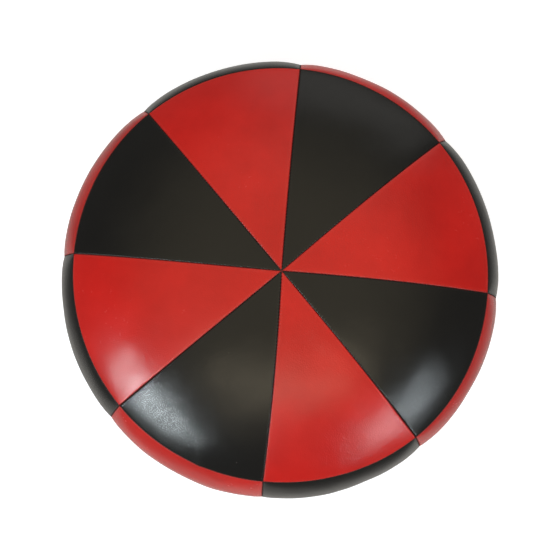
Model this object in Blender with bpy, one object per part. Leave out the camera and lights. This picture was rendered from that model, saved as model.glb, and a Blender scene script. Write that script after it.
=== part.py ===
"""A round stuffed leather pouf: eight wedges on top, eight side panels, a zipped base and its filling.

Metres, +Z up. The origin is at the middle of the base, on the floor. The seams lie on the X and Y axes
and halfway between them. The zip runs along Y in the base.
"""

import math

import bmesh
import bpy
from mathutils import Matrix, Vector

# ---------------------------------------------------------------- driving dimensions

PANELS = 8
PANEL_ANGLE = 2 * math.pi / PANELS

WIDEST_RADIUS = 0.248        # at a seam, where the side stands out furthest
WIDEST_HEIGHT = 0.138
RIM_RADIUS = 0.226           # the seam between top and side
RIM_HEIGHT = 0.222
CROWN = 0.058                # rise of the top from the rim to the centre
CROWN_POWER = 2.8
UPPER_SIDE_POWER = 1.62
BASE_SEAM_RADIUS = 0.216     # the seam between side and base
BASE_SEAM_HEIGHT = 0.032
LOWER_SIDE_POWER = 1.9
FLAT_RADIUS = 0.165          # the base lies flat on the floor inside this
BASE_RISE_POWER = 1.8
PUFF = 0.002                 # swell of a panel between its seams

LEATHER = 0.0016             # thickness
HALF_GAP = 0.00015           # half of the gap between neighbouring pieces
GROOVE = 0.001               # depth of the valley at a seam
EDGE = 0.004                 # width of the rounded edge beside a seam
ALLOWANCE = 0.006            # depth of the turned-in seam allowance
TIP_RADIUS = 0.0015          # where the wedges stop short of the centre
INNER_TIP_RADIUS = 0.014     # where their undersides start
FOLD_STEP = 0.002            # step in p that the skin's direction is measured over

# Rows of a panel between its edge rows, as places on the profile, and columns as shares of its width.
TOP_MIDDLE_ROWS = (0.11, 0.27, 0.43, 0.59, 0.74, 0.87)
SIDE_MIDDLE_ROWS = (1.17, 1.33, 1.5, 1.67, 1.83)
MIDDLE_COLUMNS = (0.25, 0.5, 0.75)

THREAD_RADIUS = 0.00035
THREAD_DEPTH = 0.00037
THREAD_START = 0.010         # where a top seam's thread starts, from the centre
THREAD_END_GAP = 0.0015
KNOT_SIZE = (0.0011, 0.0011, 0.0016)

BAG_DEPTH = 0.0085           # inner bag, below the outer skin
BAG_CLOTH = 0.0008
BAG_FLOOR = 0.0125           # its bottom, above the base's outer face
BAG_CUT = 0.0004             # the gap between its three pieces
BAG_TOP_PLACES = (0.2, 0.4, 0.6, 0.8, 0.93)
BAG_WALL_PLACES = (1.0, 1.12, 1.3, 1.5, 1.7, 1.86, 1.97)
BAG_BOTTOM_RADII = (0.203, 0.188, FLAT_RADIUS)
STUFFING_DEPTH = 0.0098
LATHE_SIDES = 24

SLOT_HALF = 0.0055           # zip slot in the base
SLOT_END = 0.1535
CHANNEL = 0.005              # height of the slot above the floor
CHANNEL_INNER = 0.006
CHANNEL_OUTER = 0.030
CHANNEL_RUN_OUT = 0.030      # how far beyond the slot the valley fades away
HEM = 0.0024                 # folded edge beside the zip
# Columns of the base from the zip out: distance from the middle line, but no more than this share of
# the way to the base seam. The rest are shares of the way from the last of them.
BASE_NEAR_COLUMNS = ((0.012, 0.2), (0.020, 0.35), (CHANNEL_OUTER, 0.5))
BASE_FAR_SHARES = (0.38, 0.68, 0.86)
TURN_START = 0.165           # beyond the slot the fold turns to lie along the base seam's allowance
TURN_LENGTH = 0.035
TIP_TURN = math.radians(0.5)            # where a half's outline stops short of the middle line
UNDER_TIP_TURN = math.radians(6.0)      # the same for its underside, and for the next point
UNDER_EDGE_TURN = math.radians(8.0)
ZIP_HALF = 0.152
TAPE_INNER = 0.0010
TAPE_OUTER = 0.0150
TAPE_BOTTOM = 0.0078
TAPE_THICKNESS = 0.0006
COIL_INNER = 0.0008
COIL_OUTER = 0.0030
COIL_BOTTOM = 0.0057
COIL_HEIGHT = 0.0018
COIL_HALF = 0.145
COIL_ROUNDING = 0.0006
STOP_LENGTH = 0.003
SLIDER_Y = 0.137
SLIDER_LENGTH = 0.012
SLIDER_HALF_WIDTH = 0.0043
SLIDER_PLATE = 0.0010
SLIDER_BOTTOM = 0.0041
SLIDER_TOP = 0.0088
SLIDER_LIP = 0.0008
SLIDER_LIP_TOP = 0.0074
SLIDER_POST_HALF = 0.00045
SLIDER_POST_LENGTH = 0.0040
SLIDER_POST_SETBACK = 0.0005
JOIN_BITE = 0.0002           # how far the slider's pieces reach into each other
BRIDGE_HALF_WIDTH = 0.0010
BRIDGE_HALF_LENGTH = 0.0042
BRIDGE_BAR = 0.0009
BRIDGE_BOTTOM = 0.0012
TAB_AXIS_HEIGHT = 0.00305
TAB_PIN_RADIUS = 0.0007
TAB_THICKNESS = 0.0012
TAB_LENGTH = 0.028
TAB_HALF_WIDTH = 0.0032
TAB_EYE_HALF = 0.0014
TAB_EYE_LENGTH = 0.0065
TAB_ROUNDING = 0.0022
ZIP_STITCH_X = 0.0085
ZIP_STITCH_SPANS = 12

RED = (0.58, 0.045, 0.030, 1.0)
BLACK = (0.022, 0.021, 0.018, 1.0)


# ---------------------------------------------------------------- materials

def material(name, colour, roughness, metallic=0.0):
    """A Principled BSDF material, made once."""
    made = bpy.data.materials.get(name)
    if made is None:
        made = bpy.data.materials.new(name)
        made.use_nodes = True
        shader = made.node_tree.nodes["Principled BSDF"]
        shader.inputs["Base Color"].default_value = colour
        shader.inputs["Roughness"].default_value = roughness
        shader.inputs["Metallic"].default_value = metallic
        made.diffuse_color = colour
    return made


def red_leather():
    return material("red_leather", RED, 0.38)


def black_leather():
    return material("black_leather", BLACK, 0.36)


def thread_material():
    return material("seam_thread", (0.060, 0.012, 0.010, 1.0), 0.7)


def zip_cloth():
    return material("zip_cloth", (0.020, 0.020, 0.020, 1.0), 0.85)


def zip_nylon():
    return material("zip_nylon", (0.030, 0.030, 0.030, 1.0), 0.4)


def zip_metal():
    return material("zip_metal", (0.62, 0.60, 0.56, 1.0), 0.3, 1.0)


def bag_cloth():
    return material("bag_cloth", (0.78, 0.74, 0.64, 1.0), 0.9)


def filling():
    return material("filling", (0.85, 0.83, 0.78, 1.0), 0.95)


# ---------------------------------------------------------------- mesh helpers

def add_object(name, bm, finish):
    """Makes a named object of a bmesh, with its faces pointing out."""
    bmesh.ops.recalc_face_normals(bm, faces=bm.faces)
    mesh = bpy.data.meshes.new(name)
    bm.to_mesh(mesh)
    bm.free()
    mesh.shade_smooth()
    mesh.set_sharp_from_angle(angle=math.radians(35))
    mesh.materials.append(finish)
    made = bpy.data.objects.new(name, mesh)
    bpy.context.scene.collection.objects.link(made)
    return made


def add_box(bm, low, high):
    """A box between two corners."""
    size = [b - a for a, b in zip(low, high)]
    middle = [(a + b) / 2 for a, b in zip(low, high)]
    place = Matrix.Translation(middle) @ Matrix.Diagonal((*size, 1.0))
    bmesh.ops.create_cube(bm, size=1.0, matrix=place)


def box_object(name, low, high, finish):
    bm = bmesh.new()
    add_box(bm, low, high)
    return add_object(name, bm, finish)


def hemmed_shell(name, outer, inner, outer_hem, inner_hem, finish):
    """A sheet of leather whose edges are turned in.

    outer and inner are grids of points with the same number of rows and columns. The hems are
    dictionaries from a border place (row, column) to the point where the turned-in edge ends.
    """
    bm = bmesh.new()
    top = [[bm.verts.new(point) for point in row] for row in outer]
    under = [[bm.verts.new(point) for point in row] for row in inner]
    rows = len(outer) - 1
    columns = len(outer[0]) - 1
    for i in range(rows):
        for j in range(columns):
            bm.faces.new((top[i][j], top[i + 1][j], top[i + 1][j + 1], top[i][j + 1]))
            bm.faces.new((under[i][j], under[i][j + 1], under[i + 1][j + 1], under[i + 1][j]))
    border = [(i, 0) for i in range(rows)]
    border += [(rows, j) for j in range(columns)]
    border += [(i, columns) for i in range(rows, 0, -1)]
    border += [(0, j) for j in range(columns, 0, -1)]
    outer_end = {place: bm.verts.new(outer_hem[place]) for place in border}
    inner_end = {place: bm.verts.new(inner_hem[place]) for place in border}
    for a, b in zip(border, border[1:] + border[:1]):
        top_a, top_b = top[a[0]][a[1]], top[b[0]][b[1]]
        under_a, under_b = under[a[0]][a[1]], under[b[0]][b[1]]
        bm.faces.new((top_a, top_b, outer_end[b], outer_end[a]))
        bm.faces.new((outer_end[a], outer_end[b], inner_end[b], inner_end[a]))
        bm.faces.new((inner_end[a], inner_end[b], under_b, under_a))
    return add_object(name, bm, finish)


def lathe(name, outline, finish):
    """A solid of revolution about Z. The outline is closed, or starts and ends on the axis."""
    bm = bmesh.new()
    rings = []
    for radius, height in outline:
        if radius < 1e-9:
            rings.append([bm.verts.new((0.0, 0.0, height))])
            continue
        angles = [2 * math.pi * (k + 0.5) / LATHE_SIDES for k in range(LATHE_SIDES)]
        rings.append([bm.verts.new((radius * math.cos(a), radius * math.sin(a), height)) for a in angles])
    on_axis = len(rings[0]) == 1
    pairs = list(zip(rings, rings[1:]))
    if not on_axis:
        pairs.append((rings[-1], rings[0]))
    for first, second in pairs:
        for k in range(LATHE_SIDES):
            n = (k + 1) % LATHE_SIDES
            if len(first) == 1:
                bm.faces.new((first[0], second[k], second[n]))
            elif len(second) == 1:
                bm.faces.new((first[k], second[0], first[n]))
            else:
                bm.faces.new((first[k], second[k], second[n], first[n]))
    return add_object(name, bm, finish)


def thread(name, points, closed=False):
    """A length of sewing thread through the given points."""
    curve = bpy.data.curves.new(name, "CURVE")
    curve.dimensions = "3D"
    curve.bevel_depth = THREAD_RADIUS
    curve.bevel_resolution = 1
    curve.use_fill_caps = not closed
    spline = curve.splines.new("POLY")
    spline.points.add(len(points) - 1)
    for place, point in zip(spline.points, points):
        place.co = (*point, 1.0)
    spline.use_cyclic_u = closed
    curve.materials.append(thread_material())
    made = bpy.data.objects.new(name, curve)
    bpy.context.scene.collection.objects.link(made)
    return made


# ---------------------------------------------------------------- the pouf's own shape

def profile(p):
    """(radius, height) of the skin at a seam: p is 0 at the centre, 1 at the rim, 2 at the base seam."""
    if p <= 1:
        return p * RIM_RADIUS, RIM_HEIGHT + CROWN * (1 - p**CROWN_POWER)
    height = RIM_HEIGHT - (p - 1) * (RIM_HEIGHT - BASE_SEAM_HEIGHT)
    if height >= WIDEST_HEIGHT:
        from_widest = (height - WIDEST_HEIGHT) / (RIM_HEIGHT - WIDEST_HEIGHT)
        spread = 1 - from_widest**UPPER_SIDE_POWER
        return RIM_RADIUS + (WIDEST_RADIUS - RIM_RADIUS) * spread, height
    from_widest = (WIDEST_HEIGHT - height) / (WIDEST_HEIGHT - BASE_SEAM_HEIGHT)
    spread = 1 - from_widest**LOWER_SIDE_POWER
    return BASE_SEAM_RADIUS + (WIDEST_RADIUS - BASE_SEAM_RADIUS) * spread, height


def base_rise(radius, edge_radius, edge_height):
    """Height of the base at a radius, between the flat middle and the base seam."""
    share = max(0.0, (radius - FLAT_RADIUS) / (edge_radius - FLAT_RADIUS))
    return edge_height * share**BASE_RISE_POWER


def direction(p, step):
    """Unit tangent of the profile on one side of p."""
    if p >= 2 and step > 0:
        inside = BASE_SEAM_RADIUS - step
        drop = base_rise(inside, BASE_SEAM_RADIUS, BASE_SEAM_HEIGHT) - BASE_SEAM_HEIGHT
        return Vector((-step, drop)).normalized()
    here = Vector(profile(p))
    there = Vector(profile(max(0.0, p + step)))
    return (there - here).normalized() * (1 if step > 0 else -1)


def tangent(p):
    """Unit tangent at p, halfway between its two sides where the skin folds at a seam."""
    if p < FOLD_STEP:
        return Vector((1.0, 0.0))
    return (direction(p, FOLD_STEP) + direction(p, -FOLD_STEP)).normalized()


def puff(share, p):
    """How far a panel swells at a share of its width, more towards the rim and none at the centre."""
    grow = min(1.0, p / 0.4)
    return PUFF * math.sin(math.pi * share) * grow * grow * (3 - 2 * grow)


def skin(angle, p, out=0.0, slide=0.0, shift=0.0):
    """A point of the skin, moved out along its normal, along the profile, and sideways."""
    radius, height = profile(p)
    along = tangent(p)
    radius += along.x * slide - along.y * out
    height += along.y * slide + along.x * out
    x = radius * math.cos(angle) - shift * math.sin(angle)
    y = radius * math.sin(angle) + shift * math.cos(angle)
    return Vector((x, y, height))


def seam_angle(index):
    return index * PANEL_ANGLE


def shares(p, inset):
    """Column places across a panel: its seams, the rounded edges beside them, and between."""
    width = profile(p)[0] * PANEL_ANGLE
    edge = min(EDGE / width, 0.2)
    start = min(inset / width, 0.15)
    return [start, edge, *MIDDLE_COLUMNS, 1 - edge, 1 - start]


def top_rows(first):
    edge = 1 - EDGE / RIM_RADIUS
    return [first / RIM_RADIUS, *TOP_MIDDLE_ROWS, edge, 1.0]


def side_rows():
    edge = EDGE / (RIM_HEIGHT - BASE_SEAM_HEIGHT)
    return [1.0, 1 + edge, *SIDE_MIDDLE_ROWS, 2 - edge, 2.0]


def at_border(row, column, rows, columns):
    return row in (0, rows) or column in (0, columns)


def panel(name, index, outer_rows, inner_rows, finish):
    """One leather panel between two seams, with its turned-in allowance on all four edges."""
    start = seam_angle(index)
    last_row = len(outer_rows) - 1
    last_column = len(shares(1.0, 0.0)) - 1
    outer = []
    inner = []
    outer_hem = {}
    inner_hem = {}
    for i, (p, q) in enumerate(zip(outer_rows, inner_rows)):
        outer.append([])
        inner.append([])
        ends = (1 if i == 0 else 0) - (1 if i == last_row else 0)
        inset = HALF_GAP + LEATHER
        for j, (f, g) in enumerate(zip(shares(p, 0.0), shares(q, inset))):
            sides = (1 if j == 0 else 0) - (1 if j == last_column else 0)
            angle = start + f * PANEL_ANGLE
            swell = puff(f, p)
            place = {"slide": ends * HALF_GAP, "shift": sides * HALF_GAP}
            under_angle = start + g * PANEL_ANGLE
            under_swell = puff(g, q)
            under_place = {"slide": ends * inset}
            if at_border(i, j, last_row, last_column):
                outer[i].append(skin(angle, p, swell - GROOVE, **place))
                inner[i].append(skin(under_angle, q, under_swell - GROOVE - LEATHER, **under_place))
                outer_hem[i, j] = skin(angle, p, swell - ALLOWANCE, **place)
                inner_hem[i, j] = skin(under_angle, q, under_swell - ALLOWANCE, **under_place)
            else:
                outer[i].append(skin(angle, p, swell))
                inner[i].append(skin(under_angle, q, under_swell - LEATHER))
    return hemmed_shell(name, outer, inner, outer_hem, inner_hem, finish)


def make_panels():
    """The wedges alternate in colour, and each side panel has the other colour."""
    for k in range(PANELS):
        top_finish, side_finish = red_leather(), black_leather()
        if k % 2:
            top_finish, side_finish = side_finish, top_finish
        panel(f"top_panel_{k + 1}", k, top_rows(TIP_RADIUS), top_rows(INNER_TIP_RADIUS), top_finish)
        panel(f"side_panel_{k + 1}", k, side_rows(), side_rows(), side_finish)


# ---------------------------------------------------------------- base

def smooth(share):
    share = min(1.0, max(0.0, share))
    return share * share * (3 - 2 * share)


def channel(x, y):
    """Height that the valley round the zip adds to the base."""
    across = 1 - smooth((abs(x) - CHANNEL_INNER) / (CHANNEL_OUTER - CHANNEL_INNER))
    along = 1 - smooth((abs(y) - SLOT_END) / CHANNEL_RUN_OUT)
    return CHANNEL * across * along


def base_stations(tip_angle, edge_angle):
    """(angle, share of its panel) along a half of the base seam, from -90 to 90 degrees."""
    places = []
    for index in range(-2, 2):
        for share in shares(2.0, 0.0)[:-1]:
            places.append((seam_angle(index) + share * PANEL_ANGLE, share))
    places.append((seam_angle(2), 0.0))
    end = math.pi / 2
    places[0] = (-end + tip_angle, 0.0)
    places[-1] = (end - tip_angle, 0.0)
    if edge_angle:
        places[1] = (-end + edge_angle, places[1][1])
        places[-2] = (end - edge_angle, places[-2][1])
    return places


def base_row(edge, start, inset):
    """x places from the zip edge to the base seam, close together beside the zip."""
    reach = edge.x - start
    near = [min(x, start + reach * share) for x, share in BASE_NEAR_COLUMNS]
    far = [near[-1] + (edge.x - near[-1]) * share for share in BASE_FAR_SHARES]
    return [start + inset] + near + far + [edge.x]


def zip_edge(y):
    """How far the edge of a half stands from the middle line."""
    return SLOT_HALF if abs(y) < SLOT_END else HALF_GAP


def base_panel(name, side, finish):
    """A half disc of leather, flat on the floor, with a folded edge beside the zip."""
    outer = []
    inner = []
    outer_hem = {}
    inner_hem = {}
    inset = HALF_GAP + LEATHER
    outer_places = base_stations(TIP_TURN, 0.0)
    inner_places = base_stations(UNDER_TIP_TURN, UNDER_EDGE_TURN)
    last_row = len(outer_places) - 1
    for i, (place, under) in enumerate(zip(outer_places, inner_places)):
        outer.append([])
        inner.append([])
        angle, share = place
        under_angle, under_share = under
        swell = puff(share, 2.0)
        under_swell = puff(under_share, 2.0)
        seam = skin(angle, 2.0, swell - GROOVE, HALF_GAP)
        under_seam = skin(under_angle, 2.0, under_swell - GROOVE - LEATHER, inset)
        xs = base_row(seam, zip_edge(seam.y), 0.0)
        under_xs = base_row(under_seam, zip_edge(seam.y), LEATHER)
        last_column = len(xs) - 1
        for j, (x, under_x) in enumerate(zip(xs, under_xs)):
            radius = math.hypot(seam.x, seam.y)
            height = base_rise(math.hypot(x, seam.y), radius, seam.z) + channel(x, seam.y)
            point = Vector((x, seam.y, height))
            under_radius = math.hypot(under_seam.x, under_seam.y)
            under_height = base_rise(math.hypot(under_x, under_seam.y), under_radius, under_seam.z - LEATHER)
            under_height += channel(under_x, under_seam.y) + LEATHER
            under_point = Vector((under_x, under_seam.y, under_height))
            if j == last_column:
                point, under_point = seam, under_seam
            outer[i].append(point)
            inner[i].append(under_point)
            if not at_border(i, j, last_row, last_column):
                continue
            if j == last_column:
                outer_hem[i, j] = skin(angle, 2.0, swell - ALLOWANCE, HALF_GAP)
                inner_hem[i, j] = skin(under_angle, 2.0, under_swell - ALLOWANCE, inset)
                continue
            turn = smooth((abs(seam.y) - TURN_START) / TURN_LENGTH)
            end = math.copysign(math.pi / 2, seam.y)
            in_seam = skin(end, 2.0, -1.0) - skin(end, 2.0)
            up = (Vector((0.0, 0.0, 1.0)) * (1 - turn) + in_seam * turn).normalized()
            depth = HEM + (ALLOWANCE - GROOVE - HEM) * turn
            outer_hem[i, j] = point + up * depth
            inner_hem[i, j] = under_point + up * (depth - LEATHER)
    for grid in (outer, inner):
        for row in grid:
            for point in row:
                point.x *= side
    for hem in (outer_hem, inner_hem):
        for point in hem.values():
            point.x *= side
    return hemmed_shell(name, outer, inner, outer_hem, inner_hem, finish)


def make_base():
    base_panel("base_panel_right", 1, black_leather())
    base_panel("base_panel_left", -1, black_leather())


# ---------------------------------------------------------------- seam threads

def trimmed(points, start, end):
    """The line through the points, less a length at each end."""
    points = [point.copy() for point in points]
    first = points[1] - points[0]
    last = points[-2] - points[-1]
    points[0] += first.normalized() * start
    points[-1] += last.normalized() * end
    return points


def make_seam_threads():
    for k in range(PANELS):
        angle = seam_angle(k)
        across = [skin(angle, p, -THREAD_DEPTH) for p in top_rows(TIP_RADIUS)]
        start = THREAD_START - TIP_RADIUS
        thread(f"top_seam_thread_{k + 1}", trimmed(across, start, THREAD_END_GAP))
        down = [skin(angle, p, -THREAD_DEPTH) for p in side_rows()]
        thread(f"side_seam_thread_{k + 1}", trimmed(down, THREAD_END_GAP, THREAD_END_GAP))
    for name, p in (("rim_seam_thread", 1.0), ("base_seam_thread", 2.0)):
        ring = []
        for k in range(PANELS):
            for share in shares(p, 0.0)[:-1]:
                ring.append(skin(seam_angle(k) + share * PANEL_ANGLE, p, puff(share, p) - THREAD_DEPTH))
        thread(name, ring, closed=True)


def make_centre_knot():
    """The knot that ties off the top seams, in the small gap between the tips."""
    bm = bmesh.new()
    bmesh.ops.create_icosphere(bm, subdivisions=2, radius=1.0)
    top = RIM_HEIGHT + CROWN
    shape = Matrix.Translation((0.0, 0.0, top)) @ Matrix.Diagonal((*KNOT_SIZE, 1.0))
    bmesh.ops.transform(bm, matrix=shape, verts=bm.verts)
    add_object("centre_knot", bm, thread_material())


# ---------------------------------------------------------------- zip

def zip_side(side, name):
    """Tape, coil, top stop and stitching of one half of the zip."""
    def between(inner, outer):
        return sorted((side * inner, side * outer))

    low, high = between(TAPE_INNER, TAPE_OUTER)
    tape_top = TAPE_BOTTOM + TAPE_THICKNESS
    box_object(f"zip_tape_{name}", (low, -ZIP_HALF, TAPE_BOTTOM), (high, ZIP_HALF, tape_top), zip_cloth())
    low, high = between(COIL_INNER, COIL_OUTER)
    coil = bmesh.new()
    top = COIL_BOTTOM + COIL_HEIGHT
    add_box(coil, (low, -COIL_HALF, COIL_BOTTOM), (high, COIL_HALF, top))
    long_edges = [e for e in coil.edges if abs(e.verts[0].co.y - e.verts[1].co.y) > COIL_HALF]
    bmesh.ops.bevel(coil, geom=long_edges, offset=COIL_ROUNDING, segments=2, affect="EDGES")
    add_object(f"zip_coil_{name}", coil, zip_nylon())
    gap = 2 * HALF_GAP
    start = COIL_HALF + gap
    end = start + STOP_LENGTH
    box_object(f"zip_top_stop_{name}", (low, start, COIL_BOTTOM), (high, end, top), zip_metal())
    next_x = BASE_NEAR_COLUMNS[0][0]
    slope = (channel(next_x, 0.0) - CHANNEL) / (next_x - SLOT_HALF)
    height = CHANNEL + slope * (ZIP_STITCH_X - SLOT_HALF) - THREAD_RADIUS - gap
    x = side * ZIP_STITCH_X
    span = 2 * COIL_HALF / ZIP_STITCH_SPANS
    line = [Vector((x, -COIL_HALF + span * k, height)) for k in range(ZIP_STITCH_SPANS + 1)]
    thread(f"zip_stitching_{name}", line)


def make_zip_slider():
    """Two plates joined by a narrow post between the coils, and a bridge below for the pull tab."""
    bm = bmesh.new()
    half = SLIDER_LENGTH / 2
    width = SLIDER_HALF_WIDTH
    lower_top = SLIDER_BOTTOM + SLIDER_PLATE
    upper_top = SLIDER_TOP + SLIDER_PLATE
    bite = JOIN_BITE
    post_half = SLIDER_POST_HALF
    post_end = half - SLIDER_POST_SETBACK
    bar_top = BRIDGE_BOTTOM + BRIDGE_BAR
    parts = [
        ((-width, -half, SLIDER_BOTTOM), (width, half, lower_top)),
        ((-width, -half, SLIDER_TOP), (width, half, upper_top)),
        ((-width, -half, lower_top - bite), (-width + SLIDER_LIP, half, SLIDER_LIP_TOP)),
        ((width - SLIDER_LIP, -half, lower_top - bite), (width, half, SLIDER_LIP_TOP)),
        ((-post_half, post_end - SLIDER_POST_LENGTH, lower_top - bite),
         (post_half, post_end, SLIDER_TOP + bite)),
        ((-BRIDGE_HALF_WIDTH, -BRIDGE_HALF_LENGTH, BRIDGE_BOTTOM),
         (BRIDGE_HALF_WIDTH, BRIDGE_HALF_LENGTH, bar_top)),
    ]
    for end in (-1, 1):
        y = sorted((end * BRIDGE_HALF_LENGTH, end * (BRIDGE_HALF_LENGTH - BRIDGE_BAR)))
        parts.append(((-BRIDGE_HALF_WIDTH, y[0], bar_top - bite),
                      (BRIDGE_HALF_WIDTH, y[1], SLIDER_BOTTOM + bite)))
    low, high = parts[0]
    add_box(bm, low, high)
    slider = add_object("zip_slider", bm, zip_metal())
    slider.location.y = SLIDER_Y
    for k, (low, high) in enumerate(parts[1:]):
        piece = box_object(f"slider_piece_{k}", low, high, zip_metal())
        piece.parent = slider
        piece.hide_render = True
        piece.display_type = "WIRE"
        union = slider.modifiers.new(f"join_{k}", "BOOLEAN")
        union.operation = "UNION"
        union.object = piece
    return slider


def make_pull_tab(slider):
    """A flat tab whose eye runs round the slider's bridge. Its origin is on its hinge line."""
    pivot = bpy.data.objects.new("pull_tab_pivot", None)
    pivot.parent = slider
    pivot.location = (0.0, 0.0, TAB_AXIS_HEIGHT)
    bpy.context.scene.collection.objects.link(pivot)
    half = TAB_THICKNESS / 2
    bm = bmesh.new()
    add_box(bm, (-TAB_HALF_WIDTH, -TAB_LENGTH, -half), (TAB_HALF_WIDTH, TAB_PIN_RADIUS, half))
    corners = [e for e in bm.edges if abs(e.verts[0].co.z - e.verts[1].co.z) > half]
    corners = [e for e in corners if e.verts[0].co.y < -half]
    bmesh.ops.bevel(bm, geom=corners, offset=TAB_ROUNDING, segments=4, affect="EDGES")
    tab = add_object("zip_pull_tab", bm, zip_metal())
    tab.parent = pivot
    eye = box_object("tab_eye", (-TAB_EYE_HALF, -TAB_EYE_LENGTH, -2 * half),
                     (TAB_EYE_HALF, -TAB_PIN_RADIUS, 2 * half), zip_metal())
    eye.parent = pivot
    eye.hide_render = True
    eye.display_type = "WIRE"
    cut = tab.modifiers.new("eye", "BOOLEAN")
    cut.operation = "DIFFERENCE"
    cut.object = eye
    return tab


def make_zip():
    zip_side(1, "right")
    zip_side(-1, "left")
    end = -COIL_HALF - 2 * HALF_GAP
    low = (-COIL_OUTER, end - STOP_LENGTH, COIL_BOTTOM)
    high = (COIL_OUTER, end, COIL_BOTTOM + COIL_HEIGHT)
    box_object("zip_bottom_stop", low, high, zip_metal())
    make_pull_tab(make_zip_slider())


# ---------------------------------------------------------------- inner bag and filling

def inside_line(depth, floor):
    """Outline of the inside at a depth below the skin: three lists of (radius, height)."""
    def below(p):
        point = skin(0.0, p, -depth)
        return point.x, point.z

    top = [(0.0, profile(0)[1] - depth)] + [below(p) for p in BAG_TOP_PLACES]
    wall = [below(p) for p in BAG_WALL_PLACES]
    bottom = []
    for radius in BAG_BOTTOM_RADII:
        bottom.append((radius, base_rise(radius, BASE_SEAM_RADIUS, BASE_SEAM_HEIGHT) + floor))
    bottom.append((0.0, floor))
    return top, wall, bottom


def make_inside():
    """The cloth bag in three pieces, and the filling inside it."""
    outer = inside_line(BAG_DEPTH, BAG_FLOOR)
    inner = inside_line(BAG_DEPTH + BAG_CLOTH, BAG_FLOOR + BAG_CLOTH)
    names = ("inner_bag_top", "inner_bag_wall", "inner_bag_bottom")
    joins = [(outer[0][-1], inner[0][-1]), (outer[1][0], inner[1][0])]
    joins += [(outer[1][-1], inner[1][-1]), (outer[2][0], inner[2][0])]

    def towards(a, b, distance):
        line = Vector(b) - Vector(a)
        return tuple(Vector(a) + line.normalized() * distance)

    def reach(a, b):
        return (Vector(b) - Vector(a)).length - BAG_CUT

    rim_end = [towards(a, b, reach(a, b)) for a, b in zip(joins[0], joins[1])]
    base_start = [towards(b, a, reach(b, a)) for a, b in zip(joins[2], joins[3])]
    lathe(names[0], outer[0] + [rim_end[0], rim_end[1]] + inner[0][::-1], bag_cloth())
    lathe(names[1], outer[1] + inner[1][::-1], bag_cloth())
    lathe(names[2], inner[2][::-1] + [base_start[1], base_start[0]] + outer[2], bag_cloth())
    top, wall, bottom = inside_line(STUFFING_DEPTH, BAG_FLOOR + STUFFING_DEPTH - BAG_DEPTH)
    lathe("stuffing", top + wall + bottom, filling())


# ---------------------------------------------------------------- build

def main():
    for old in list(bpy.data.objects):
        bpy.data.objects.remove(old, do_unlink=True)
    make_panels()
    make_base()
    make_seam_threads()
    make_centre_knot()
    make_zip()
    make_inside()


main()
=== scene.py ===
"""The looks of a round leather pouf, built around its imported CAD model.

Every leather panel is a sheet with rolled, turned-in edges, sewn to its neighbours by separate stitches.
Metres, +Z up. The origin is at the middle of the base, on the floor.
"""

import math

import bmesh
import bpy
import numpy as np
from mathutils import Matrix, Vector, noise


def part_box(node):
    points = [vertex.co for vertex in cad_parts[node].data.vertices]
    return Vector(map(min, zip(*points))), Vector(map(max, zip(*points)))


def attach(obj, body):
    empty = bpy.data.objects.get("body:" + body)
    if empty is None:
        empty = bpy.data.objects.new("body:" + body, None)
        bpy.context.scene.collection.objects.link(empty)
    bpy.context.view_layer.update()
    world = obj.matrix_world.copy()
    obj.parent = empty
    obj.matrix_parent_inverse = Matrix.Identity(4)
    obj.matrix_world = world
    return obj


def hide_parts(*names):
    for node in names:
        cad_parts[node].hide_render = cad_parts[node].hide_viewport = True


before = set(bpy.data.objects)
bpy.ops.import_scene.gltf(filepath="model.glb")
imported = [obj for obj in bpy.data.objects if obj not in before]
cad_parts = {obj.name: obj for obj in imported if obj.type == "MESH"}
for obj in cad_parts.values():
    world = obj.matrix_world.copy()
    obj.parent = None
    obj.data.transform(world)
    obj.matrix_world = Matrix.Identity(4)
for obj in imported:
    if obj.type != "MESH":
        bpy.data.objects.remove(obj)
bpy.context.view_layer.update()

# ---------------------------------------------------------------- sizes, from the frame

BODY = "pouf"
PANELS = 8
PANEL_ANGLE = 2 * math.pi / PANELS


def ring_of(node):
    """(radius, height) of a seam thread that runs right round the pouf."""
    low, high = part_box(node)
    return high.x, (low.z + high.z) / 2


RIM_RADIUS, RIM_HEIGHT = ring_of("rim_seam_thread")
BASE_SEAM_RADIUS, BASE_SEAM_HEIGHT = ring_of("base_seam_thread")
WIDEST_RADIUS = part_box("side_panel_1")[1].x
TOP_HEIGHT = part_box("top_panel_1")[1].z
SIDE_HEIGHT = RIM_HEIGHT - BASE_SEAM_HEIGHT
WIDEST_SHARE = 0.558         # how far up the side its widest ring lies
WIDEST_HEIGHT = BASE_SEAM_HEIGHT + WIDEST_SHARE * SIDE_HEIGHT
CROWN = TOP_HEIGHT - RIM_HEIGHT
CROWN_POWER = 2.8
UPPER_SIDE_POWER = 1.62
LOWER_SIDE_POWER = 1.9
FLAT_RADIUS = 0.165
BASE_RISE_POWER = 1.8

FOLD_STEP = 0.002            # how far beside a seam the direction of the skin is read

LEATHER = 0.0016             # thickness
HALF_GAP = 0.0001
ROLL = 0.0011                # radius of the leather's turned edge at a seam
SHOULDER = 0.0005            # how far the leather is drawn down towards a seam
SHOULDER_WIDTH = 0.006
ALLOWANCE = 0.006            # depth of the edge that is turned in at a seam
TIP_ROLL = 0.16              # the most of a narrow wedge that its turned edge takes
UNDERSIDE_ROLL = 0.8         # the turn of the leather's inner face, as a share of the outer one's
EVEN_WIDTH = 0.03            # lumps die away this near to a seam
BIG_LUMPS = (14.0, 0.0011)   # lumps for each metre, and their height
SMALL_LUMPS = (42.0, 0.00028)
BASE_LUMPS = (30.0, 0.0006)
TOP_SWELL = 0.0004           # the most that a panel swells between its seams
SIDE_SWELL = 0.0036
FILL_P = np.concatenate([np.linspace(0.05, 1.0, 25), np.linspace(1.0, 2.0, 25)[1:]])
FILL_SHARE = np.linspace(0.0, 1.0, 25)
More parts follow.
